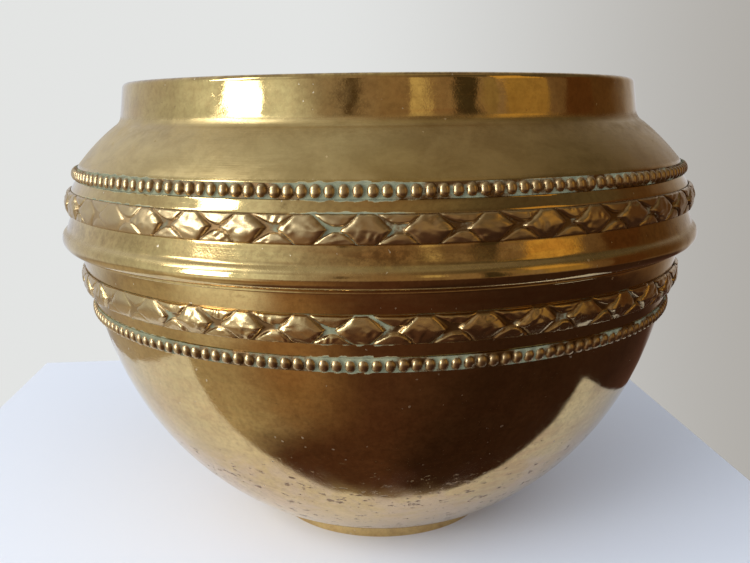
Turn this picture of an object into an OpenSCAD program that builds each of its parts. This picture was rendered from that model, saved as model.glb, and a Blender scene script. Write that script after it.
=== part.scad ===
// Brass planter pot: a spun bowl and a spun upper body lapped at the girdle,
// four stamped strips soldered round the outside, and a low foot ring.
// Millimetres, +Z up, origin on the pot's axis at the table.

/* [Body] */
// Radius of the collar at the rim
mouth_r = 112; // [111:0.5:113]
// Height of the rim above the table
pot_h = 198; // [194:0.5:206]
// Thickness of the sheet brass
wall_t = 0.9; // [0.7:0.1:1.1]

/* [Rim] */
// Radius of the wire inside the rolled rim
wire_r = 1.2; // [0.8:0.1:1.6]

/* [Foot] */
// Outer radius of the foot ring
foot_r = 52.5; // [50:0.5:55]
// Height of the foot ring
foot_h = 5; // [4:0.5:6]
// Thickness of the foot ring
foot_t = 1.6; // [1.2:0.1:2.4]

/* [Strips] */
// Beads on the upper beaded strip
upper_beads = 190; // [120:2:196]
// Beads on the lower beaded strip
lower_beads = 186; // [120:2:192]
// Repeats of the garland on the upper leaf strip
upper_leaves = 44; // [36:1:48]
// Repeats of the garland on the lower leaf strip
lower_leaves = 42; // [36:1:46]
// How far the leaves stand off their strip
leaf_rise = 2.2; // [1.6:0.1:2.4]

/* [View] */
// Sub-part to draw

/* [Hidden] */
$fn = 96;
brass = [0.72, 0.56, 0.27];
dark_brass = [0.55, 0.42, 0.20];
solder_grey = [0.62, 0.62, 0.60];

// Collar, rolled rim and shoulder.
neck = [113.4, 182.6];
neck_fillet_r = 2.5;
roll_r = wire_r + wall_t;
roll_centre = [mouth_r - roll_r, pot_h - roll_r];
shoulder_top = neck + [0.9, -1.1];
shoulder_r = 90;

// Lower and upper edge of each upper strip, as [radius, height] on the sheet's outer face.
upper_leaf_band = [[135.9, 145.6], [135.4, 155.3]];
upper_bead_band = [[133.0, 159.3], [132.1, 164.3]];
strip_t = 0.5;

// The girdle: below the upper leaf strip the sheet slopes out, then a tight cove runs into a
// half-round bead above the skirt.
girdle_edge_r = 140.3;
girdle_base_z = 131.2;
girdle_r = 4.3;
girdle_centre = [girdle_edge_r - girdle_r, girdle_base_z + girdle_r];
cove_r = 2.4;
cove_turn = 52;
cove_top = 20;
cove_centre = girdle_centre + (cove_r + girdle_r) * [cos(cove_turn), sin(cove_turn)];
skirt_z = 129.7;
solder_gap = 0.05;
foot_fillet = 2;

// The bowl: a flat base, a short slope out from the foot, a round belly and a steeper flank.
slope_top_z = 10.7;
belly_r = 137.8;
belly_centre = [-8.4, 127.6];
belly_start = asin((slope_top_z - belly_centre[1]) / belly_r);
belly_end = -17.8;
flank_r = 291;
flank_centre = belly_centre - (flank_r - belly_r) * [cos(belly_end), sin(belly_end)];
flank_middle_z = 95;
lower_bead_z = [102.4, 107.6];
lower_leaf_z = [112.6, 122.8];
lap_r = flank_r_at(skirt_z);
lap_base_z = 144;
lap_top_z = 150;
skirt_r = lap_r + solder_gap + wall_t;
bowl_edge_gap = wall_t + solder_gap;
lower_bead_band = [flank_point(lower_bead_z[0]), flank_point(lower_bead_z[1])];
lower_leaf_band = [flank_point(lower_leaf_z[0]), flank_point(lower_leaf_z[1])];

// Stamped strips: the grid of each repeat is [columns around, rows up].
bead_rise = 1.6;
bead_grid = [2, 4];
leaf_grid = [8, 6];
strip_clear = 0.02;
front = -90;
upper_leaf_turn = front + 1.9;
lower_leaf_turn = front + 1.3;
bead_relief = function (u, v) beading(u, v);
leaf_relief = function (u, v) garland(u, v);

// Half size of a bead, a whole leaf and a half leaf, as shares of [one repeat, the strip's height].
bead_half = [0.46, 0.42];
leaf_half = [0.48, 0.34];
edge_leaf_half = [0.45, 0.36];
edge_leaf_height = 0.8;

// Radius and point of the bowl's flank at height z.
function flank_r_at(z) = flank_centre[0] + sqrt(pow(flank_r, 2) - pow(z - flank_centre[1], 2));
function flank_point(z) = [flank_r_at(z), z];

// Points of an arc from angle a0 to a1.
function arc(centre, r, a0, a1, steps) = [
    for (i = [0 : steps])
        let (a = a0 + (a1 - a0) * i / steps)
        centre + r * [cos(a), sin(a)]
];

// Arc of radius r from point a up to point b, bulging to the right of the way there.
function arc_between(a, b, r, steps) =
    let (
        half = (b - a) / 2,
        to_right = [half[1], -half[0]] / norm(half),
        centre = a + half - to_right * sqrt(pow(r, 2) - half * half),
        a0 = atan2(a[1] - centre[1], a[0] - centre[0]),
        a1 = atan2(b[1] - centre[1], b[0] - centre[0])
    )
    arc(centre, r, a0, a1, steps);

// The corner b of the path a, b, c rounded off with radius r, for a path that turns right at b.
function rounded(a, b, c, r, steps) =
    let (
        along = (b - a) / norm(b - a),
        away = (c - b) / norm(c - b),
        turn = acos(along * away),
        start = b - along * r * tan(turn / 2),
        centre = start + r * [along[1], -along[0]],
        a0 = atan2(start[1] - centre[1], start[0] - centre[0])
    )
    arc(centre, r, a0, a0 - turn, steps);

// Unit vector to the left of the way from a to b.
function left_of(a, b) = [a[1] - b[1], b[0] - a[0]] / norm(b - a);

// The path moved t to its left, with mitred corners.
function left_side(path, t) = [
    for (i = [0 : len(path) - 1])
        let (
            before = left_of(path[max(i - 1, 0)], path[max(i, 1)]),
            after = left_of(path[min(i, len(path) - 2)], path[min(i + 1, len(path) - 1)])
        )
        path[i] + t * (before + after) / (1 + before * after)
];

// The path without points that repeat the one before.
function without_repeats(path) = [
    for (i = [0 : len(path) - 1])
        if (i == 0 || norm(path[i] - path[max(i - 1, 0)]) > 0.001)
            path[i]
];

function reversed(path) = [for (i = [len(path) - 1 : -1 : 0]) path[i]];

// A sheet of thickness t spun round the axis, its outer face along the path.
module spun_sheet(path, t) {
    rotate_extrude()
        polygon(concat(path, reversed(left_side(path, t))));
}

// The path of the upper body's outer face, from the skirt up and over the rolled rim.
upper_path = without_repeats(concat(
    [[skirt_r, skirt_z]],
    [[skirt_r, girdle_base_z]],
    arc(girdle_centre, girdle_r, -90, cove_turn, 14),
    arc(cove_centre, cove_r, 180 + cove_turn, 180 + cove_top, 6),
    upper_leaf_band,
    upper_bead_band,
    arc_between(upper_bead_band[1], shoulder_top, shoulder_r, 10),
    rounded(shoulder_top, neck, [mouth_r, roll_centre[1]], neck_fillet_r, 5),
    arc(roll_centre, roll_r, 0, 270, 24)
));

// The path of the bowl's outer face, from the middle of the base up to its edge in the girdle.
bowl_path = concat(
    [[0, foot_h]],
    [[foot_r, foot_h]],
    arc(belly_centre, belly_r, belly_start, belly_end, 22),
    [flank_point(flank_middle_z)],
    lower_bead_band,
    lower_leaf_band,
    [[lap_r, skirt_z]],
    [[lap_r, girdle_base_z + wall_t]],
    [[upper_leaf_band[0][0] - bowl_edge_gap, lap_base_z]],
    [[band_r_at(lap_top_z) - bowl_edge_gap, lap_top_z]]
);

// Outer radius of the upper body at height z in the band behind the leaf strip.
function band_r_at(z) =
    let (f = (z - upper_leaf_band[0][1]) / (upper_leaf_band[1][1] - upper_leaf_band[0][1]))
    upper_leaf_band[0][0] + f * (upper_leaf_band[1][0] - upper_leaf_band[0][0]);

module upper_shell() {
    color(brass)
        spun_sheet(upper_path, wall_t);
}

module bowl_shell() {
    color(brass)
        spun_sheet(bowl_path, wall_t);
}

module rim_wire() {
    color(dark_brass)
        rotate_extrude()
            translate(roll_centre)
                circle(r = wire_r);
}

// Height of one domed leaf at (u, v), 0 to 1, for a leaf at its centre and half size.
function dome(u, v, centre, half) =
    sqrt(max(0, 1 - pow((u - centre[0]) / half[0], 2) - pow((v - centre[1]) / half[1], 2)));

// Height of the garland at u around a repeat and v up the strip, both 0 to 1:
// a whole leaf down the middle, half leaves above and below between it and the next.
function garland(u, v) =
    max([
        dome(u, v, [0.5, 0.5], leaf_half),
        for (side = [0, 1])
            for (edge = [0, 1])
                edge_leaf_height * dome(u, v, [side, edge], edge_leaf_half)
    ]);

// Height of a row of beads at (u, v), one bead to a repeat.
function beading(u, v) = dome(u, v, [0.5, 0.5], bead_half);

// A stamped strip bent round the band, closed at the back. The relief is a function of (u, v),
// and the first repeat starts at the angle turn.
module stamped_strip(band, repeats, grid, rise, turn, relief) {
    out = -left_of(band[0], band[1]);
    columns = repeats * grid[0];
    rows = grid[1];
    back = [band[1] + strip_clear * out, band[0] + strip_clear * out];
    // The points of one column: the two edges of the back, then the face from the bottom up.
    section = function (column)
        let (u = (column % grid[0]) / grid[0])
        concat(
            back,
            [
                for (row = [0 : rows])
                    let (v = row / rows)
                    band[0] + (band[1] - band[0]) * v + (strip_t + rise * relief(u, v)) * out
            ]
        );
    ring = rows + len(back) + 1;
    points = [
        for (column = [0 : columns - 1])
            let (a = turn + 360 * column / columns)
            for (p = section(column))
                [p[0] * cos(a), p[0] * sin(a), p[1]]
    ];
    faces = [
        for (column = [0 : columns - 1])
            let (here = column * ring, next = ((column + 1) % columns) * ring)
            for (k = [0 : ring - 1])
                let (m = (k + 1) % ring)
                for (triangle = [[here + k, here + m, next + k], [here + m, next + m, next + k]])
                    triangle
    ];
    color(dark_brass)
        polyhedron(points, faces);
}

module upper_bead_strip() {
    stamped_strip(upper_bead_band, upper_beads, bead_grid, bead_rise, front, bead_relief);
}

module lower_bead_strip() {
    stamped_strip(lower_bead_band, lower_beads, bead_grid, bead_rise, front, bead_relief);
}

module upper_leaf_strip() {
    stamped_strip(upper_leaf_band, upper_leaves, leaf_grid, leaf_rise, upper_leaf_turn, leaf_relief);
}

module lower_leaf_strip() {
    stamped_strip(lower_leaf_band, lower_leaves, leaf_grid, leaf_rise, lower_leaf_turn, leaf_relief);
}

module foot_ring() {
    edge_r = 0.4;
    color(brass)
        rotate_extrude()
            polygon(concat(
                [[foot_r - foot_t, foot_h], [foot_r - foot_t, edge_r]],
                arc([foot_r - foot_t + edge_r, edge_r], edge_r, 180, 270, 4),
                arc([foot_r - edge_r, edge_r], edge_r, 270, 360, 4),
                [[foot_r, foot_h]]
            ));
}

// A fillet of solder with its corner at p, reaching along r and along z.
module solder_fillet(p, reach) {
    color(solder_grey)
        rotate_extrude()
            polygon([p, p + [reach[0], 0], p + [0, reach[1]]]);
}

// Fills the corner between the bowl's top edge and the inside of the upper body.
module girdle_solder() {
    low = [band_r_at(lap_top_z) - wall_t, lap_top_z];
    high = [band_r_at(lap_top_z + wall_t) - bowl_edge_gap, lap_top_z + wall_t];
    color(solder_grey)
        rotate_extrude()
            polygon([low - [bowl_edge_gap, 0], low - [solder_gap, 0], high]);
}

module foot_solder() {
    solder_fillet([foot_r - foot_t, foot_h], [-foot_fillet, -foot_fillet]);
}

upper_shell();
rim_wire();
upper_bead_strip();
upper_leaf_strip();
lower_leaf_strip();
lower_bead_strip();
bowl_shell();
foot_ring();
girdle_solder();
foot_solder();
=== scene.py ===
"""A brass planter pot: spun shells, beaded strips and laurel-leaf strips, on a pale sheet."""

from math import asin, atan2, cos, hypot, pi, radians, sin, sqrt

import bpy
import numpy as np
from mathutils import Euler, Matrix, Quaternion, Vector


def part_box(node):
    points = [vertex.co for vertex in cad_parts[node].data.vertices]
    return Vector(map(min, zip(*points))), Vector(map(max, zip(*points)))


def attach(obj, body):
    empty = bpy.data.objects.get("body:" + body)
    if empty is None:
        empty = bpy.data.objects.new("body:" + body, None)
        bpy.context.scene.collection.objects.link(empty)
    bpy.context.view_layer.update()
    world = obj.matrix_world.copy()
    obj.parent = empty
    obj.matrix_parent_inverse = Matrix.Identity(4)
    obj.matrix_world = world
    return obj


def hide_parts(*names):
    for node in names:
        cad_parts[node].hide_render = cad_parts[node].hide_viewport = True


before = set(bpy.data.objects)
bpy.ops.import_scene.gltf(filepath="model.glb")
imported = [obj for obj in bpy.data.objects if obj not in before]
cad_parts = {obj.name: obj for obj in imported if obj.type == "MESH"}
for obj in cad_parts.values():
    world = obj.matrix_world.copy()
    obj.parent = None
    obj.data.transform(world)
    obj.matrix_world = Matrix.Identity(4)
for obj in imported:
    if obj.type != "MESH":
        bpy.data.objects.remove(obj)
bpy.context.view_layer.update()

MM = 0.001

# ---------------------------------------------------------------- sizes, from the CAD nodes
rim_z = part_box("upper_shell")[1][2]
foot_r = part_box("foot_ring")[1][0]
foot_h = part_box("foot_ring")[1][2]

WALL = 0.9 * MM
MOUTH_R = 112 * MM
NECK = (113.4 * MM, 182.6 * MM)
NECK_FILLET_R = 5 * MM
NECK_TURN = radians(234)
NECK_CENTRE = (NECK[0] + NECK_FILLET_R, NECK[1] + 2.4 * MM)
ROLL_R = 2.1 * MM
STRIP_T = 0.5 * MM
UPPER_BEADS = 190
LOWER_BEADS = 186
UPPER_LEAVES = 44
LOWER_LEAVES = 42

# Edges of the strips on the sheet's outer face: (radius, height) below, then above.
UPPER_LEAF = ((135.9 * MM, 145.6 * MM), (135.4 * MM, 155.3 * MM))
UPPER_BEAD = ((133.0 * MM, 159.3 * MM), (132.1 * MM, 164.3 * MM))
LOWER_LEAF_Z = (112.6 * MM, 122.8 * MM)
LOWER_BEAD_Z = (102.4 * MM, 107.6 * MM)

# The sheet slopes out below the upper leaves, then turns in a tight cove into the girdle's bead.
GIRDLE_R = 140.2 * MM
GIRDLE_BASE_Z = 131.2 * MM
GIRDLE_BEAD_R = 4.3 * MM
GIRDLE_CENTRE = (GIRDLE_R - GIRDLE_BEAD_R, GIRDLE_BASE_Z + GIRDLE_BEAD_R)
COVE_R = 2.4 * MM
COVE_TURN = radians(52)
COVE_TOP = radians(20)
COVE_CENTRE = (
    GIRDLE_CENTRE[0] + (COVE_R + GIRDLE_BEAD_R) * cos(COVE_TURN),
    GIRDLE_CENTRE[1] + (COVE_R + GIRDLE_BEAD_R) * sin(COVE_TURN),
)
SKIRT_Z = 129.7 * MM
BELLY_R = 137.8 * MM
BELLY_CENTRE = (-8.4 * MM, 127.6 * MM)
BELLY_END = radians(-17.8)
SLOPE_TOP_Z = 10.7 * MM
FLANK_R = 291 * MM
FLANK_CENTRE = (
    BELLY_CENTRE[0] - (FLANK_R - BELLY_R) * cos(BELLY_END),
    BELLY_CENTRE[1] - (FLANK_R - BELLY_R) * sin(BELLY_END),
)
LAP_BASE_Z = 144 * MM
LAP_TOP_Z = 150 * MM

# How many columns of faces run around a shell and around the foot ring.
SHELL_COLUMNS = 720
FOOT_COLUMNS = 360


# ---------------------------------------------------------------- outlines in section
def flank(z):
    """The point of the bowl's flank at height z."""
    return (FLANK_CENTRE[0] + sqrt(FLANK_R**2 - (z - FLANK_CENTRE[1]) ** 2), z)


def arc(centre, r, start, end, steps):
    """Points of an arc, angles in radians."""
    angles = np.linspace(start, end, steps + 1)
    return [(centre[0] + r * cos(a), centre[1] + r * sin(a)) for a in angles]


def arc_between(a, b, r, steps):
    """Points of the arc of radius r from a up to b that bulges away from the axis."""
    half = np.subtract(b, a) / 2
    to_right = np.array([half[1], -half[0]]) / hypot(*half)
    centre = np.add(a, half) - to_right * sqrt(r * r - half @ half)
    start = atan2(a[1] - centre[1], a[0] - centre[0])
    end = atan2(b[1] - centre[1], b[0] - centre[0])
    return arc(centre, r, start, end, steps)


def smooth_corners(points, spacing):
    """The path resampled at an even spacing, then eased so that no corner is knife sharp."""
    points = np.array(points)
    steps = np.hypot(*np.diff(points, axis=0).T)
    points = points[np.concatenate([[True], steps > 1e-7])]
    along = np.concatenate([[0], np.cumsum(np.hypot(*np.diff(points, axis=0).T))])
    count = int(along[-1] / spacing)
    at = np.linspace(0, along[-1], count + 1)
    even = np.stack([np.interp(at, along, points[:, k]) for k in (0, 1)], axis=1)
    eased = even.copy()
    eased[1:-1] = (even[:-2] + 2 * even[1:-1] + even[2:]) / 4
    return eased


def left_side(path, t):
    """The path moved t to its left."""
    step = np.gradient(path, axis=0)
    left = np.stack([-step[:, 1], step[:, 0]], axis=1)
    return path + t * left / np.hypot(left[:, 0], left[:, 1])[:, None]


# ---------------------------------------------------------------- surfaces of revolution
def wobble(azimuth, height, seed, size):
    """A slow unevenness of hand-worked sheet, in metres, from a few seeded waves."""
    waves = np.random.default_rng(seed)
    total = np.zeros(np.broadcast(azimuth, height).shape)
    for n in range(10):
        around = waves.integers(1, 9)
        up = waves.uniform(-90, 90)
        phase = waves.uniform(0, 2 * pi)
        total = total + np.sin(around * azimuth + up * height + phase) / (2 + n)
    return size * total


def ripple(azimuth, height, seed, size):
    """A finer unevenness that bends the edges of what the polished metal mirrors."""
    waves = np.random.default_rng(seed)
    total = np.zeros(np.broadcast(azimuth, height).shape)
    for _ in range(24):
        around = waves.integers(8, 75)
        up = waves.uniform(-700, 700)
        total = total + np.sin(around * azimuth + up * height + waves.uniform(0, 2 * pi))
    return size * total


def dent(azimuth, height, at, z, radius, depth):
    """One round dent with its middle at azimuth at (degrees from the front) and height z."""
    body_r = 1.2 * MOUTH_R
    across = body_r * np.sin((azimuth - radians(at)) / 2) * 2
    return -depth * np.exp(-(across**2 + (height - z) ** 2) / radius**2)


def patchy(azimuth, v, seed, scale):
    """Seeded blotches from 0 to 1 over a strip."""
    waves = np.random.default_rng(seed)
    total = 0
    for n in range(14):
        around = waves.integers(8, 60) * scale
        total = total + np.sin(around * azimuth + waves.uniform(-6, 6) * v + waves.uniform(0, 6.3))
    return np.clip(0.5 + total / 9, 0, 1)


def smoothstep(x):
    x = np.clip(x, 0, 1)
    return x * x * (3 - 2 * x)


def near_azimuth(azimuth, middle, reach):
    """1 at the middle azimuth, falling away over reach; both in degrees."""
    off = np.angle(np.exp(1j * (azimuth - radians(middle))))
    return np.exp(-((off / radians(reach)) ** 2))


def grid_mesh(name, points, closed_up=False):
    """A mesh from a grid of points, shape (rows up, columns around, 3), closed around.

    With closed_up the last row joins the first, for a sheet with two faces."""
    rows, columns = points.shape[:2]
    index = np.arange(rows * columns).reshape(rows, columns)
    if closed_up:
        index = np.vstack([index, index[:1]])
    low, high = index[:-1], index[1:]
    quads = np.stack([low, np.roll(low, -1, 1), np.roll(high, -1, 1), high], axis=-1)
    mesh = bpy.data.meshes.new(name)
    mesh.from_pydata(points.reshape(-1, 3).tolist(), [], quads.reshape(-1, 4).tolist())
    mesh.polygons.foreach_set("use_smooth", [True] * len(mesh.polygons))
    mesh.update()
    piece = bpy.data.objects.new(name, mesh)
    bpy.context.collection.objects.link(piece)
    return piece


def near_height(height, middle, reach):
    """1 at the middle height, falling away over reach."""
    return np.exp(-(((height - middle) / reach) ** 2))


def add_values(piece, name, values):
    """Keeps one number for each of the piece's vertices, for its material to read."""
    attribute = piece.data.attributes.new(name, "FLOAT", "POINT")
    attribute.data.foreach_set("value", np.ravel(values).astype(np.float32))


def spun(name, path, unevenness, marks):
    """A closed sheet spun from the outer path, moved out by unevenness(azimuth, height).

    marks names functions of azimuth and height whose values the material reads."""
    inner = left_side(path, WALL)[::-1]
    keep = np.r_[0 : len(inner) - 1 : 3, len(inner) - 1]
    section = np.concatenate([path, inner[keep]])
    azimuth = np.linspace(0, 2 * pi, SHELL_COLUMNS, endpoint=False)[None, :]
    r = section[:, :1] + unevenness(azimuth, section[:, 1:])
    z = np.broadcast_to(section[:, 1:], r.shape)
    points = np.stack([r * np.sin(azimuth), -r * np.cos(azimuth), z], axis=-1)
    piece = grid_mesh(name, points, closed_up=True)
    for mark, value in marks.items():
        add_values(piece, mark, value(azimuth, z))
    within = np.arange(len(section)) >= len(path)
    add_values(piece, "within", np.repeat(within, SHELL_COLUMNS))
    return piece


def thick_green(azimuth):
    """Where the verdigris is thickest: a little left of the front, and round to the left."""
    return near_azimuth(azimuth, -4, 6) + 0.6 * near_azimuth(azimuth, -45, 12)


def creeping_green(edges, reach):
    """Verdigris that has crept from the strips' edges, at the given heights, onto the sheet."""

    def value(azimuth, height):
        total = 0
        for number, (edge, way) in enumerate(edges):
            ragged = 0.4 + 1.2 * patchy(azimuth, 0, 40 + number, 3)
            off = way * (height - edge) / (reach * ragged)
            strength = 0.35 + 0.9 * thick_green(azimuth)
            total = total + strength * smoothstep(1 - off) * (off > -0.8)
        return np.clip(total, 0, 1)

    return value


SKIRT_R = flank(SKIRT_Z)[0] + WALL
upper_path = smooth_corners(
    [(SKIRT_R, SKIRT_Z)]
    + [(SKIRT_R, GIRDLE_BASE_Z)]
    + arc(GIRDLE_CENTRE, GIRDLE_BEAD_R, -pi / 2, COVE_TURN, 24)
    + arc(COVE_CENTRE, COVE_R, pi + COVE_TURN, pi + COVE_TOP, 8)
    + list(UPPER_LEAF)
    + list(UPPER_BEAD)
    + arc_between(UPPER_BEAD[1], (NECK[0] + 2.4 * MM, NECK[1] - 1.8 * MM), 90 * MM, 20)
    + arc(NECK_CENTRE, NECK_FILLET_R, NECK_TURN, pi, 8)
    + arc((MOUTH_R - ROLL_R, rim_z - ROLL_R), ROLL_R, 0, radians(270), 30),
    0.45 * MM,
)


def upper_unevenness(azimuth, height):
    shape = wobble(azimuth, height, 3, 0.10 * MM) + ripple(azimuth, height, 4, 0.004 * MM)
    shape = shape + dent(azimuth, height, -6, 190 * MM, 12 * MM, 0.25 * MM)
    shape = shape + dent(azimuth, height, 28, 187 * MM, 10 * MM, 0.20 * MM)
    return shape + dent(azimuth, height, 47, 172 * MM, 18 * MM, 0.30 * MM)


def satin(azimuth, height):
    """1 on the shoulder, left dull between the polished collar and bands, and in the cove."""
    above_beads = smoothstep((height - 164.5 * MM) / (1.2 * MM))
    below_collar = smoothstep((185.5 * MM - height) / (3 * MM))
    cove = near_height(height, 138.5 * MM, 1.3 * MM)
    return np.clip(above_beads * below_collar + 0.8 * cove, 0, 1)


def upper_stain_and_shade(azimuth, height):
    """Brown stains, a few separate ones and a band on the rim; a darker band all round below the
    leaves; and painted shade, a dark band under the neck.
    """
    patch = near_azimuth(azimuth, 1, 4.5) * near_height(height, 142 * MM, 4 * MM)
    spot = near_azimuth(azimuth, -13, 0.5) * near_height(height, 157.5 * MM, 0.9 * MM)
    smudge = near_azimuth(azimuth, -5, 3) * near_height(height, 190 * MM, 6 * MM)
    # Painted shade: a dark band all round just under the neck.
    painted_shade_under_neck = 0.60 * near_height(height, 179 * MM, 2.2 * MM)
    under_leaves = 0.35 * near_height(height, 142 * MM, 3.5 * MM)
    on_rim = 0.8 * near_height(height, 197.8 * MM, 0.6 * MM)
    return np.clip(patch + spot + 0.6 * smudge + painted_shade_under_neck + under_leaves + on_rim, 0, 1)


def upper_blush(azimuth, height):
    """Where the zinc has gone from the surface and it looks coppery."""
    below_leaves = near_height(height, 142.5 * MM, 5 * MM) * near_azimuth(azimuth, 8, 26)
    narrow_band = 0.8 * near_height(height, 157.2 * MM, 2.2 * MM) * near_azimuth(azimuth, 14, 30)
    collar = 0.6 * near_height(height, 187 * MM, 4 * MM) * near_azimuth(azimuth, 9, 10)
    return np.clip(below_leaves + narrow_band + collar, 0, 1)


upper_marks = {
    "satin": satin,
    "green": creeping_green([(159.3 * MM, -1), (164.3 * MM, 1), (155.3 * MM, 1)], 0.9 * MM),
    "stain_and_shade": upper_stain_and_shade,
    "blush": upper_blush,
    "pits": lambda azimuth, height: np.full_like(height + azimuth, 0.25),
}
upper_shell = spun("upper_shell_spun", upper_path, upper_unevenness, upper_marks)

BASE_R = 2 * MM
bowl_path = smooth_corners(
    [(BASE_R, foot_h)]
    + [(foot_r, foot_h)]
    + arc(BELLY_CENTRE, BELLY_R, asin((SLOPE_TOP_Z - BELLY_CENTRE[1]) / BELLY_R), BELLY_END, 60)
    + [flank(z) for z in np.linspace(88 * MM, SKIRT_Z, 20)]
    + [(flank(SKIRT_Z)[0], GIRDLE_BASE_Z + WALL)]
    + [(UPPER_LEAF[0][0] - WALL - 0.1 * MM, LAP_BASE_Z)]
    + [(UPPER_LEAF[1][0] - WALL + 0.1 * MM, LAP_TOP_Z)],
    0.8 * MM,
)


def bowl_unevenness(azimuth, height):
    fade = np.clip((height - 12 * MM) / (30 * MM), 0, 1)
    shape = wobble(azimuth, height, 5, 0.12 * MM) + ripple(azimuth, height, 6, 0.004 * MM)
    shape = shape + dent(azimuth, height, -24, 52 * MM, 16 * MM, 0.35 * MM)
    shape = shape + dent(azimuth, height, 12, 58 * MM, 20 * MM, 0.30 * MM)
    return fade * shape


def bowl_stain(azimuth, height):
    """Brown stains: a tide mark low at the left, and a faint broad one at the front."""
    tide = near_azimuth(azimuth, -38, 20) * near_height(height, 40 * MM, 10 * MM)
    front = near_azimuth(azimuth, 10, 35) * near_height(height, 70 * MM, 30 * MM)
    return np.clip(0.8 * tide + 0.35 * front, 0, 1)


def bowl_blush(azimuth, height):
    """Coppery below the girdle at the front, and in the rubbed zone just above the foot."""
    high = near_azimuth(azimuth, 14, 24) * near_height(height, 126 * MM, 5 * MM)
    low = 0.8 * near_azimuth(azimuth, 35, 30) * near_height(height, 45 * MM, 20 * MM)
    everywhere = 0.25
    return np.clip(high + low + everywhere, 0, 1)


def bowl_pits(azimuth, height):
    """Pits are few high on the bowl and many near the foot."""
    low_down = smoothstep((70 * MM - height + 0 * azimuth) / (20 * MM))
    return 0.25 + 0.75 * low_down


bowl_marks = {
    "green": creeping_green([(112.6 * MM, -1), (107.6 * MM, 1), (102.4 * MM, -1)], 0.9 * MM),
    "stain_and_shade": bowl_stain,
    "blush": bowl_blush,
    "pits": bowl_pits,
}
bowl_shell = spun("bowl_shell_spun", bowl_path, bowl_unevenness, bowl_marks)


# ---------------------------------------------------------------- stamped strips
def strip_points(band, relief, columns):
    """The face and back of a strip as a grid: relief holds heights, shape (rows, columns)."""
    low, high = np.array(band)
    along = (high - low) / hypot(*(high - low))
    out = np.array([along[1], -along[0]])
    rows = relief.shape[0]
    azimuth = np.linspace(0, 2 * pi, columns, endpoint=False)
    v = np.linspace(0, 1, rows)[:, None]
    face = STRIP_T + relief
    r = low[0] + (high[0] - low[0]) * v + face * out[0]
    z = low[1] + (high[1] - low[1]) * v + face * out[1]
    edge = np.ones((1, columns))
    r = np.concatenate([low[0] * edge, r, high[0] * edge])
    z = np.concatenate([low[1] * edge, z, high[1] * edge])
    return np.stack([r * np.sin(azimuth), -r * np.cos(azimuth), z], axis=-1)


def ease(x):
    """Rises from 0 to 1, straight at first and rounded at the top."""
    x = np.clip(x, 0, 1)
    return 0.55 * x + 0.45 * np.sin(x * pi / 2)


def between(t, low, high, before, after):
    """1 between low and high, easing to 0 over the stretches before and after."""
    return ease((t - low) / before + 1) * ease((high - t) / after + 1)


def garland(u, v, tweak):
    """Relief of the laurel strip, 0 to 1: u counts repeats, v runs 0 to 1 up the strip.

    Each repeat has a whole leaf across the strip; half leaves fill the top and bottom edges
    between one and the next. tweak holds small numbers that make each leaf a little different."""
    repeat = np.floor(u).astype(int)
    own = tweak[repeat % len(tweak)]
    t = u - repeat - 0.5 + 0.02 * own[..., 0]
    top = 0.5 + 0.52 * between(t, -0.12 + 0.03 * own[..., 1], 0.10, 0.30, 0.32)
    bottom = 0.5 - 0.52 * between(t, -0.14, 0.12 + 0.04 * own[..., 2], 0.28, 0.28)
    leaf = np.minimum(top - v, v - bottom)

    side = np.floor(u + 0.5).astype(int)
    near = tweak[side % len(tweak)]
    s = u - side
    hang = 1 - (0.39 + 0.04 * near[..., 3]) * between(s, 0.02, 0.22, 0.36, 0.20)
    stand = (0.43 + 0.04 * near[..., 1]) * between(s, 0.00, 0.20, 0.36, 0.20)
    others = np.sort(np.stack(np.broadcast_arrays(leaf, v - hang, stand - v)), axis=0)
    inside = np.minimum(others[2], 0.8 * (others[2] - others[1]))
    height = smoothstep(inside / 0.075) * (0.70 + 0.30 * smoothstep(inside / 0.30))
    height = height * np.where(others[2] > leaf, 0.88, 1.0)
    bulge = 0.42 + 0.58 * (1 - np.abs(2 * v - 1) ** 1.4)
    return 0.12 + 0.88 * bulge * height


def leaf_strip(name, band, repeats, turn, rise, seed, blank_at):
    """A laurel strip; blank_at is the azimuth, in degrees, where its ends meet and smear."""
    per_repeat, rows = 44, 34
    columns = repeats * per_repeat
    azimuth = np.linspace(0, 2 * pi, columns, endpoint=False)[None, :]
    v = np.linspace(0, 1, rows)[:, None]
    u = (azimuth - radians(turn)) * repeats / (2 * pi) + repeats
    tweak = np.random.default_rng(seed).uniform(-1, 1, (repeats, 4))
    slip = 0.02 * (patchy(azimuth, 2 * v, seed + 4, 1) - 0.5)
    relief = garland(u + slip, v + 2 * slip, tweak)
    flange = smoothstep(v / 0.05) * smoothstep((1 - v) / 0.05)
    folds = np.sin(2 * pi * (3.1 * u - 2.4 * v) + 9 * patchy(azimuth, v, seed + 1, 1))
    folds = 0.06 * folds * smoothstep(3 * patchy(azimuth, 2 * v, seed + 5, 2) - 1.5)
    creases = 0.07 * (patchy(azimuth, 4 * v, seed + 1, 3) - 0.5)
    off_seam = np.angle(np.exp(1j * (azimuth - radians(blank_at))))
    smear = 0.85 * np.exp(-((off_seam / radians(8)) ** 4))
    bar = 0.62 * np.cos(pi * (v - 0.5)) ** 0.6
    high = np.clip((relief - 0.2) * 3, 0, 1)
    groove = 1 - smoothstep((relief - 0.12) / 0.20)
    relief = relief + (folds + creases) * high
    relief = (relief * (1 - smear) + bar * smear) * flange
    piece = grid_mesh(name, strip_points(band, rise * relief, columns), closed_up=True)
    add_edges(piece, groove * (1 - 0.7 * smear), azimuth, v, seed, 0.12, 0.42)
    return piece


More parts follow.
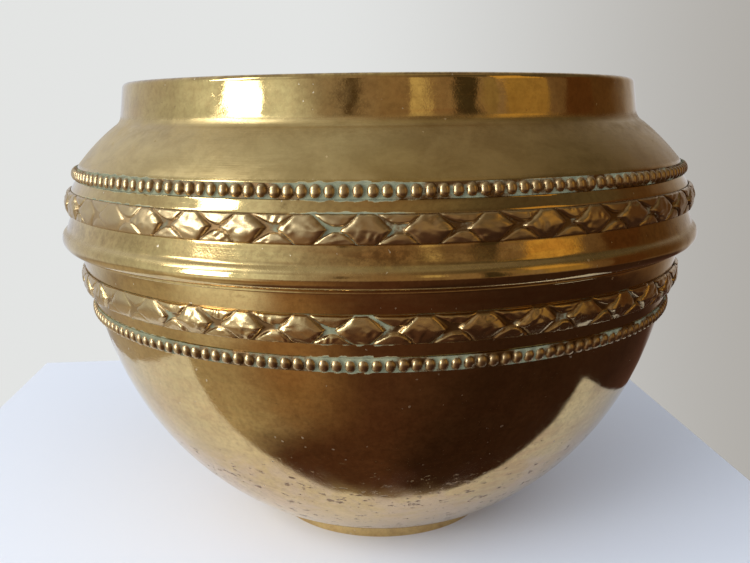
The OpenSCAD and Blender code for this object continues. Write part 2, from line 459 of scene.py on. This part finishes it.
def add_edges(piece, groove, azimuth, v, seed, level, edge_level):
    """Dirt and verdigris in a strip's grooves and along its edges, and bare metal on its tops."""
    thick = thick_green(azimuth)
    patches = patchy(azimuth, v, seed + 2, 1)
    green = np.clip(groove * (level + 0.45 * patches + 0.55 * thick), 0, 1)
    edge = edge_level + 0.40 * patches[:1] + 0.4 * thick[:1]
    dirt_row = np.ones((1, green.shape[1]))
    add_values(piece, "groove", np.concatenate([dirt_row, groove, dirt_row]))
    add_values(piece, "green", np.concatenate([edge, green, edge]))


def bead_strip(name, band, beads, turn, seed, seam_at):
    """A beaded strip: a channel with a row of round beads, each a little different."""
    per_bead, rows = 16, 26
    columns = beads * per_bead
    azimuth = np.linspace(0, 2 * pi, columns, endpoint=False)[None, :]
    v = np.linspace(0, 1, rows)[:, None]
    u = (azimuth - radians(turn)) * beads / (2 * pi) + beads
    bead = np.floor(u).astype(int) % beads
    each = np.random.default_rng(seed).uniform(-1, 1, (beads, 4))
    seam = int(np.floor((radians(seam_at - turn) % (2 * pi)) * beads / (2 * pi)))
    each[seam] = (2.6, 1.5, -2.0, 1.8)
    x = (u - np.floor(u) - 0.5 - 0.02 * each[bead, 0]) / (0.435 + 0.015 * each[bead, 1])
    y = (v - 0.5 - 0.012 * each[bead, 2]) / (0.445 + 0.012 * each[bead, 3])
    inside = 1 - np.abs(x) ** 2.2 - np.abs(y) ** 2.2
    ball = np.clip(inside, 0, 1) ** 0.48
    piece = grid_mesh(name, strip_points(band, 1.7 * MM * ball, columns), closed_up=True)
    groove = 1 - smoothstep(inside / 0.35)
    add_edges(piece, groove, azimuth, v, seed, 0.26, 0.34)
    return piece


lower_leaf_band = (flank(LOWER_LEAF_Z[0]), flank(LOWER_LEAF_Z[1]))
lower_bead_band = (flank(LOWER_BEAD_Z[0]), flank(LOWER_BEAD_Z[1]))
LEAF_RISE = 2.2 * MM
upper_leaves = leaf_strip("upper_leaf_relief", UPPER_LEAF, UPPER_LEAVES, 1.9, LEAF_RISE, 11, -45)
lower_leaves = leaf_strip("lower_leaf_relief", lower_leaf_band, LOWER_LEAVES, 1.3, LEAF_RISE, 12, -43)
upper_beads = bead_strip("upper_bead_row", UPPER_BEAD, UPPER_BEADS, -0.2, 21, -37)
lower_beads = bead_strip("lower_bead_row", lower_bead_band, LOWER_BEADS, 0.1, 22, -44)

# ---------------------------------------------------------------- foot ring
FOOT_T = 1.6 * MM
FOOT_EDGE_R = 0.4 * MM
foot_path = smooth_corners(
    [(foot_r - FOOT_T, foot_h), (foot_r - FOOT_T, FOOT_EDGE_R)]
    + arc((foot_r - FOOT_T + FOOT_EDGE_R, FOOT_EDGE_R), FOOT_EDGE_R, pi, 1.5 * pi, 5)
    + arc((foot_r - FOOT_EDGE_R, FOOT_EDGE_R), FOOT_EDGE_R, 1.5 * pi, 2 * pi, 5)
    + [(foot_r, foot_h)],
    0.15 * MM,
)
around = np.linspace(0, 2 * pi, FOOT_COLUMNS, endpoint=False)[None, :]
foot_rows = np.stack(
    [
        foot_path[:, :1] * np.sin(around),
        -foot_path[:, :1] * np.cos(around),
        foot_path[:, 1:] * np.ones_like(around),
    ],
    axis=-1,
)
foot = grid_mesh("foot_ring_turned", foot_rows, closed_up=True)


# ---------------------------------------------------------------- materials
class Nodes:
    """Short ways to add shader nodes to one material or world."""

    def __init__(self, tree):
        self.tree = tree
        tree.nodes.clear()

    def add(self, kind, inputs=None, **settings):
        node = self.tree.nodes.new(kind)
        for name, value in settings.items():
            setattr(node, name, value)
        for key, value in (inputs or {}).items():
            self.give(node.inputs[key], value)
        return node

    def give(self, socket, value):
        if isinstance(value, bpy.types.NodeSocket):
            self.tree.links.new(value, socket)
        else:
            socket.default_value = value

    def math(self, operation, a, b=0.0, clamp=False):
        node = self.add("ShaderNodeMath", {0: a, 1: b}, operation=operation, use_clamp=clamp)
        return node.outputs[0]

    def mix(self, factor, a, b, blend="MIX"):
        node = self.add("ShaderNodeMix", data_type="RGBA", blend_type=blend)
        self.give(node.inputs["Factor"], factor)
        for socket, value in ((node.inputs[6], a), (node.inputs[7], b)):
            self.give(socket, (*value, 1) if isinstance(value, tuple) and len(value) == 3 else value)
        return node.outputs[2]

    def ramp(self, value, low, high):
        """0 where value is low or less, 1 where it is high or more, smooth between."""
        node = self.add(
            "ShaderNodeMapRange",
            {"Value": value, "From Min": low, "From Max": high},
            interpolation_type="SMOOTHSTEP",
        )
        return node.outputs["Result"]

    def noise(self, vector, scale, detail=4.0, roughness=0.55, distortion=0.0):
        node = self.add(
            "ShaderNodeTexNoise",
            {
                "Vector": vector,
                "Scale": scale,
                "Detail": detail,
                "Roughness": roughness,
                "Distortion": distortion,
            },
        )
        return node.outputs["Fac"]

    def stretched(self, factors):
        """Object coordinates, each axis multiplied by its factor."""
        place = self.add("ShaderNodeTexCoord").outputs["Object"]
        node = self.add("ShaderNodeVectorMath", {0: place, 1: factors}, operation="MULTIPLY")
        return node.outputs[0]

    def streaks(self, tilt, factors, low, high):
        """Short thin streaks that run one way: tilt turns them, factors stretch them."""
        place = self.add("ShaderNodeTexCoord").outputs["Object"]
        node = self.add("ShaderNodeVectorRotate", {"Vector": place}, rotation_type="EULER_XYZ")
        node.inputs["Rotation"].default_value = tilt
        long = self.add("ShaderNodeVectorMath", {0: node.outputs[0], 1: factors}, operation="MULTIPLY")
        return self.ramp(self.noise(long.outputs[0], 1.0, 2, 0.5), low, high)

    def value_of(self, name):
        return self.add("ShaderNodeAttribute", attribute_name=name).outputs["Fac"]


GOLD = (0.76, 0.56, 0.25)
OLIVE = (0.50, 0.37, 0.15)
COPPERY = (0.50, 0.24, 0.09)
BLOOM = (0.62, 0.45, 0.33)
HONEY = (0.56, 0.38, 0.14)
UMBER = (0.17, 0.09, 0.035)
PALE_GREEN = (0.19, 0.185, 0.105)
GREY_GREEN = (0.13, 0.13, 0.075)
DUST = (0.75, 0.70, 0.62)

# Scratches by their turn, and how fine they are along each axis before it.
SCRATCHES = (
    ((0.0, 0.0, 0.0), (30, 30, 3500)),
    ((0.0, 0.6, 0.0), (40, 40, 2600)),
    ((0.0, -1.0, 0.4), (60, 60, 2200)),
)


def brass(name, polish, haze_rough, tarnish_level, satin=False, strip=0.0):
    """Old brass: gold where rubbed, olive and brown tarnish, stains and painted shade, pits and
    verdigris.

    strip is how far a stamped strip's own dull brown covers the brass, or 0 for smooth sheet."""
    material = bpy.data.materials.new(name)
    material.use_nodes = True
    n = Nodes(material.node_tree)
    place = n.stretched((1, 1, 1))
    turned = n.stretched((1, 1, 9))

    cloud = n.noise(place, 20, 5, 0.6, 0.4)
    smear = n.noise(turned, 24, 5, 0.6)
    tarnish = n.math("ADD", n.math("MULTIPLY", cloud, 0.6), n.math("MULTIPLY", smear, 0.4))
    tarnish = n.ramp(tarnish, tarnish_level - 0.10, tarnish_level + 0.16)
    colour = n.mix(n.math("MULTIPLY", tarnish, 0.5), GOLD, OLIVE)
    mottle = n.noise(place, 75, 8, 0.75, 0.6)
    colour = n.mix(n.ramp(mottle, 0.35, 0.75), colour, n.mix(0.30, colour, UMBER))
    blotch = n.ramp(n.noise(place, 130, 5, 0.7, 0.5), 0.62, 0.74)
    colour = n.mix(n.math("MULTIPLY", blotch, 0.35), colour, UMBER)
    haze = n.ramp(n.noise(place, 48, 9, 0.72, 1.2), 0.50, 0.66)
    rough = n.math("ADD", polish, n.math("MULTIPLY", haze, haze_rough))
    rough = n.math("ADD", rough, n.math("MULTIPLY", blotch, 0.10))
    film = n.ramp(n.noise(place, 55, 9, 0.78), 0.42, 0.62)
    colour = n.mix(n.math("MULTIPLY", film, 0.20), colour, COPPERY)
    flecks = n.noise(place, 520, 5, 0.7)
    colour = n.mix(n.ramp(flecks, 0.40, 0.68), colour, n.mix(0.22, colour, UMBER))
    rough = n.math("ADD", rough, n.math("MULTIPLY", flecks, 0.02))
    grain = n.noise(place, 1400, 2, 0.6)
    height = n.math("MULTIPLY", grain, 0.25)
    crust = n.value_of("green")
    speckle = n.noise(place, 420, 4, 0.7)

    if not strip:
        patches = n.ramp(n.noise(turned, 31, 5, 0.65, 0.8), 0.40, 0.66)
        blush = n.math("MULTIPLY", n.value_of("blush"), patches)
        colour = n.mix(n.math("MULTIPLY", blush, 0.55), colour, COPPERY)
        # This mark darkens towards umber: brown stains, and on the upper shell also a band of painted
        # shade under the neck.
        ragged = n.ramp(n.noise(place, 260, 6, 0.75), 0.36, 0.62)
        stain_and_shade = n.math("MULTIPLY", n.value_of("stain_and_shade"), ragged)
        colour = n.mix(n.math("MULTIPLY", stain_and_shade, 0.75), colour, UMBER)
        rough = n.math("ADD", rough, n.math("MULTIPLY", stain_and_shade, 0.15))
        low_down = n.value_of("pits")
        cloudy = n.ramp(n.noise(place, 26, 7, 0.7, 1.0), 0.44, 0.60)
        bloom = n.math("MULTIPLY", n.ramp(low_down, 0.4, 0.9), cloudy)
        colour = n.mix(n.math("MULTIPLY", low_down, 0.35), colour, HONEY)
        colour = n.mix(n.math("MULTIPLY", bloom, 0.45), colour, BLOOM)
        rough = n.math("ADD", rough, n.math("MULTIPLY", bloom, 0.06))
        spots = n.noise(n.stretched((1, 1, 1.8)), 200, 4, 0.65)
        reach = n.math("MULTIPLY", low_down, 0.15)
        pit = n.ramp(n.math("ADD", spots, reach), 0.74, 0.80)
        colour = n.mix(n.math("MULTIPLY", pit, 0.8), colour, UMBER)
        rough = n.math("ADD", rough, n.math("MULTIPLY", pit, 0.2))
        height = n.math("ADD", height, n.math("MULTIPLY", pit, -0.8))
        dust = n.ramp(n.noise(place, 620, 0, 0.4), 0.845, 0.86)
        colour = n.mix(n.math("MULTIPLY", dust, 0.6), colour, DUST)
        rough = n.math("ADD", rough, n.math("MULTIPLY", dust, 0.4))
        within = n.value_of("within")
        colour = n.mix(n.math("MULTIPLY", within, 0.45), colour, n.mix(film, COPPERY, UMBER))
        rough = n.math("ADD", rough, n.math("MULTIPLY", within, 0.22))
        for tilt, factors in SCRATCHES:
            scratch = n.streaks(tilt, factors, 0.62, 0.74)
            rough = n.math("ADD", rough, n.math("MULTIPLY", scratch, 0.05))
            height = n.math("ADD", height, n.math("MULTIPLY", scratch, -0.05))
    if satin:
        dull = n.value_of("satin")
        rough = n.math("ADD", rough, n.math("MULTIPLY", dull, 0.30))
        smudge = n.ramp(n.noise(n.stretched((1, 1, 2)), 45, 7, 0.72, 0.5), 0.36, 0.66)
        grey = n.mix(smudge, (0.68, 0.525, 0.255), (0.51, 0.375, 0.17))
        colour = n.mix(n.math("MULTIPLY", dull, 0.7), colour, grey)
        rough = n.math("ADD", rough, n.math("MULTIPLY", n.math("MULTIPLY", smudge, dull), -0.05))
        lines = n.noise(n.stretched((8, 8, 800)), 3, 3, 0.6)
        height = n.math("ADD", height, n.math("MULTIPLY", n.math("MULTIPLY", lines, dull), 0.8))
    if strip:
        groove = n.value_of("groove")
        rub = n.mix(n.noise(place, 170, 4, 0.6), (0.66, 0.52, 0.30), (0.40, 0.26, 0.15))
        colour = n.mix(strip, colour, rub)
        colour = n.mix(n.math("MULTIPLY", groove, 0.85), colour, UMBER)
        rough = n.math("ADD", rough, n.math("MULTIPLY", groove, 0.25))
        height = n.math("ADD", height, n.math("MULTIPLY", n.noise(place, 700, 3, 0.6), 0.6))
    crust = n.ramp(n.math("ADD", crust, n.math("MULTIPLY", speckle, 0.6)), 0.68, 0.92)
    green = n.mix(n.ramp(n.noise(place, 300, 3), 0.35, 0.65), PALE_GREEN, GREY_GREEN)
    colour = n.mix(crust, colour, green)
    rough = n.math("ADD", rough, n.math("MULTIPLY", crust, 0.5))
    metal = n.math("SUBTRACT", 1.0, crust)
    height = n.math("ADD", height, n.math("MULTIPLY", n.math("MULTIPLY", crust, speckle), 2))
    bump = n.add("ShaderNodeBump", {"Strength": 0.22, "Distance": 0.0002, "Height": height})
    shader = n.add(
        "ShaderNodeBsdfPrincipled",
        {"Base Color": colour, "Metallic": metal, "Roughness": rough, "Normal": bump.outputs[0]},
    )
    n.add("ShaderNodeOutputMaterial", {"Surface": shader.outputs[0]})
    return material


body_brass = brass("spun_brass_worn", 0.050, 0.05, 0.52)
shell_brass = brass("upper_brass_worn", 0.040, 0.07, 0.52, satin=True)
strip_brass = brass("stamped_brass_aged", 0.28, 0.06, 0.50, strip=0.75)
rubbed_brass = brass("stamped_brass_rubbed", 0.21, 0.06, 0.54, strip=0.5)
foot_brass = brass("foot_brass_worn", 0.12, 0.08, 0.70)

pieces = [
    (upper_shell, shell_brass, "spun_brass", ["upper_shell"]),
    (bowl_shell, body_brass, "spun_brass", ["bowl_shell"]),
    (upper_beads, strip_brass, "stamped_brass", ["upper_bead_strip"]),
    (upper_leaves, strip_brass, "stamped_brass", ["upper_leaf_strip"]),
    (lower_leaves, rubbed_brass, "stamped_brass", ["lower_leaf_strip"]),
    (lower_beads, strip_brass, "stamped_brass", ["lower_bead_strip"]),
    (foot, foot_brass, "foot_brass", ["foot_ring"]),
]
for piece, material, slot, nodes in pieces:
    piece.data.materials.append(material)
    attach(piece, "root")
    for node in nodes:
        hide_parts(node)


def plain_metal(name, colour, dark, roughness):
    """Wire or solder that hardly shows: two mixed tones, and a grain that roughens it."""
    material = bpy.data.materials.new(name)
    material.use_nodes = True
    n = Nodes(material.node_tree)
    place = n.stretched((1, 1, 1))
    tone = n.mix(n.ramp(n.noise(place, 160, 5, 0.65), 0.38, 0.64), colour, dark)
    grain = n.noise(place, 900, 4, 0.7)
    rough = n.math("ADD", roughness, n.math("MULTIPLY", grain, 0.25))
    bump = n.add("ShaderNodeBump", {"Strength": 0.3, "Distance": 0.0002, "Height": grain})
    shader = n.add(
        "ShaderNodeBsdfPrincipled",
        {"Base Color": tone, "Metallic": 1.0, "Roughness": rough, "Normal": bump.outputs[0]},
    )
    n.add("ShaderNodeOutputMaterial", {"Surface": shader.outputs[0]})
    return material


wire = plain_metal("rim_wire_dull", (0.42, 0.34, 0.22), (0.16, 0.11, 0.07), 0.35)
solder = plain_metal("solder_dull", (0.46, 0.45, 0.42), (0.22, 0.19, 0.15), 0.40)
for node, material in (("rim_wire", wire), ("girdle_solder", solder), ("foot_solder", solder)):
    bpy.data.objects[node].material_slots[0].material = material


# ---------------------------------------------------------------- floor, room, light and camera
def pale(name, colour, roughness):
    material = bpy.data.materials.new(name)
    material.use_nodes = True
    n = Nodes(material.node_tree)
    tooth = n.noise(n.stretched((1, 1, 1)), 900, 3)
    bump = n.add("ShaderNodeBump", {"Strength": 0.15, "Distance": 0.0002, "Height": tooth})
    shader = n.add(
        "ShaderNodeBsdfPrincipled",
        {"Base Color": (*colour, 1), "Roughness": roughness, "Normal": bump.outputs[0]},
    )
    n.add("ShaderNodeOutputMaterial", {"Surface": shader.outputs[0]})
    return material


SHEET_TURN = radians(4.4)
SHEET = (-0.236, 0.186, -0.092, 0.225)
corners = [(SHEET[0], SHEET[2]), (SHEET[1], SHEET[2]), (SHEET[1], SHEET[3]), (SHEET[0], SHEET[3])]
floor_mesh = bpy.data.meshes.new("floor_sheet")
floor_mesh.from_pydata(
    [
        (x * cos(SHEET_TURN) - y * sin(SHEET_TURN), x * sin(SHEET_TURN) + y * cos(SHEET_TURN), 0)
        for x, y in corners
    ],
    [],
    [(0, 1, 2, 3)],
)
floor = bpy.data.objects.new("floor_sheet", floor_mesh)
bpy.context.collection.objects.link(floor)
floor_mesh.materials.append(pale("floor_white", (0.82, 0.83, 0.86), 0.6))

# What the pot mirrors: a plain room, painted from the back to the front in soft-edged parts. A
# row is what the part is, then the middle, half size and edge of its azimuth and of its
# elevation, all in degrees, and its light. Azimuth 0 is the front, and right is positive.
ALL_ROUND = (0, 400, 1)
ROOM = [
    ("dark table at the right", (85, 60, 30), (-50, 34, 5), (0.04, 0.02, 0.015)),
    ("sheet far down behind", (-170, 50, 30), (-68, 12, 8), (0.42, 0.38, 0.32)),
    ("lit table at the left", (-116, 66, 32), (-38, 21, 8), (0.50, 0.44, 0.34)),
    ("warm edge of the lit table", (-42, 20, 20), (-38, 20, 12), (0.32, 0.195, 0.105)),
    ("sill under the window", (-62, 17, 12), (-24, 9, 6), (0.92, 0.95, 0.90)),
    ("dim room in front", ALL_ROUND, (37, 53, 5), (0.29, 0.20, 0.12)),
    ("dark room at the right", (105, 30, 25), (37, 53, 5), (0.10, 0.05, 0.02)),
    ("pale wall at the left", (-105, 75, 40), (37, 53, 5), (0.54, 0.57, 0.56)),
    ("white wall behind", (-165, 50, 30), (37, 53, 5), (0.68, 0.71, 0.78)),
    ("dark shelf high at the right", (80, 62, 30), (42, 15, 7), (0.10, 0.08, 0.05)),
    ("curtain by the window", (-58, 27, 12), (4, 21, 6), (0.90, 1.00, 1.00)),
    ("curtain, high up", (-67, 23, 11), (40, 14, 7), (0.87, 0.97, 1.00)),
    ("ceiling", ALL_ROUND, (75, 18, 12), (0.31, 0.27, 0.18)),
    ("ceiling at the left", (-125, 75, 50), (75, 18, 12), (0.51, 0.52, 0.50)),
    ("ceiling at the right", (105, 50, 45), (75, 18, 12), (0.20, 0.16, 0.12)),
    ("dark upright", (-12, 2.5, 1), (14, 10, 2), (0.10, 0.07, 0.04)),
    ("narrow lamp", (17, 3.5, 1), (16, 9, 2), (0.60, 0.48, 0.25)),
    ("gap between cupboards", (37, 4.5, 1), (6, 20, 2), (0.06, 0.045, 0.025)),
    ("pale upright", (47, 3.5, 1), (10, 10, 2), (0.28, 0.20, 0.09)),
    ("wooden door", (64, 9, 1), (4, 16, 2), (0.36, 0.23, 0.075)),
    ("amber lampshade", (61, 10, 1), (27, 11, 2), (0.66, 0.40, 0.10)),
    ("dark door", (92, 9, 1), (2, 20, 2), (0.095, 0.04, 0.015)),
]
NADIR = (0.095, 0.045, 0.030)

# What the camera sees behind the pot, and the light that falls on the floor and the verdigris.
# The backdrop is painted darker towards the right: painted shade of a wall lit from the left.
BACKDROP_LEFT = (0.77, 0.78, 0.77)
BACKDROP_RIGHT = (0.42, 0.40, 0.37)
FILL_FRONT = (1.10, 1.22, 1.42)
FILL_BACK = (0.24, 0.24, 0.25)


def inside(n, off, half, edge):
    """1 where off is well under half, 0 where it is well over, soft over the edge at both sides."""
    return n.ramp(off, radians(half + edge), radians(half - edge))


world = bpy.data.worlds.new("room")
world.use_nodes = True
bpy.context.scene.world = world
n = Nodes(world.node_tree)
direction = n.add("ShaderNodeTexCoord").outputs["Generated"]
split = n.add("ShaderNodeSeparateXYZ", {0: direction})
x, y, z = split.outputs
turn = n.math("ARCTAN2", x, n.math("MULTIPLY", y, -1.0))
lift = n.math("ARCSINE", z)
room = (*NADIR, 1)
for _, (at, wide, side_edge), (up, tall, top_edge), colour in ROOM:
    there = inside(n, n.math("ABSOLUTE", n.math("SUBTRACT", lift, radians(up))), tall, top_edge)
    if wide < 180:
        turned_away = n.math("ARCCOSINE", n.math("COSINE", n.math("SUBTRACT", turn, radians(at))))
        there = n.math("MULTIPLY", there, inside(n, turned_away, wide, side_edge))
    room = n.mix(there, room, colour)
path = n.add("ShaderNodeLightPath")
fill = n.mix(n.ramp(y, -0.75, 0.35), FILL_FRONT, FILL_BACK)
light = n.mix(path.outputs["Is Diffuse Ray"], room, fill)
backdrop = n.mix(n.ramp(x, -0.1, 0.5), BACKDROP_LEFT, BACKDROP_RIGHT)
light = n.mix(path.outputs["Is Camera Ray"], light, backdrop)
background = n.add("ShaderNodeBackground", {"Color": light, "Strength": 1.0})
n.add("ShaderNodeOutputWorld", {"Surface": background.outputs[0]})


def area_light(name, at, target, size, power, colour):
    data = bpy.data.lights.new(name, "AREA")
    data.shape = "RECTANGLE"
    data.size, data.size_y = size
    data.energy = power
    data.color = colour
    lamp = bpy.data.objects.new(name, data)
    bpy.context.collection.objects.link(lamp)
    lamp.location = at
    toward = Vector(target) - Vector(at)
    lamp.rotation_euler = toward.to_track_quat("-Z", "Y").to_euler()
    return lamp


WINDOW_FAR = 2.5
WINDOW_GLOW = 9.0
# Each pane's azimuth, the height of its middle, and its width and height.
PANES = {
    "window_low": (radians(-57), 0.30, (0.72, 1.30)),
    "window_high": (radians(-69), 2.00, (0.66, 1.60)),
}
for name, (at, middle_z, size) in PANES.items():
    area_light(
        name,
        (WINDOW_FAR * sin(at), -WINDOW_FAR * cos(at), middle_z),
        (0, 0, middle_z),
        size,
        WINDOW_GLOW * pi * size[0] * size[1],
        (0.96, 0.98, 1.0),
    )

# A broad lamp above and to the left lights the floor; the metal does not show it.
SOFT_LAMP_AT = (-1.3, -1.35, 1.1)
SOFT_LAMP_WATTS = 24.0
soft_lamp = area_light(
    "soft_lamp", SOFT_LAMP_AT, (0, 0, 0), (1.3, 1.3), SOFT_LAMP_WATTS, (0.90, 0.97, 1.08)
)
soft_lamp.visible_glossy = False

camera_data = bpy.data.cameras.new("camera")
camera_data.sensor_width = 36
camera_data.lens = 38.4
camera = bpy.data.objects.new("camera", camera_data)
bpy.context.collection.objects.link(camera)
camera.location = (-2.26 * MM, -376.75 * MM, 186.35 * MM)
camera.rotation_mode = "QUATERNION"
look = Euler((radians(90 - 12.17), 0, 0)).to_quaternion()
camera.rotation_quaternion = look @ Quaternion((0, 0, 1), radians(-0.62))
bpy.context.scene.camera = camera
bpy.context.scene.view_settings.view_transform = "Standard"
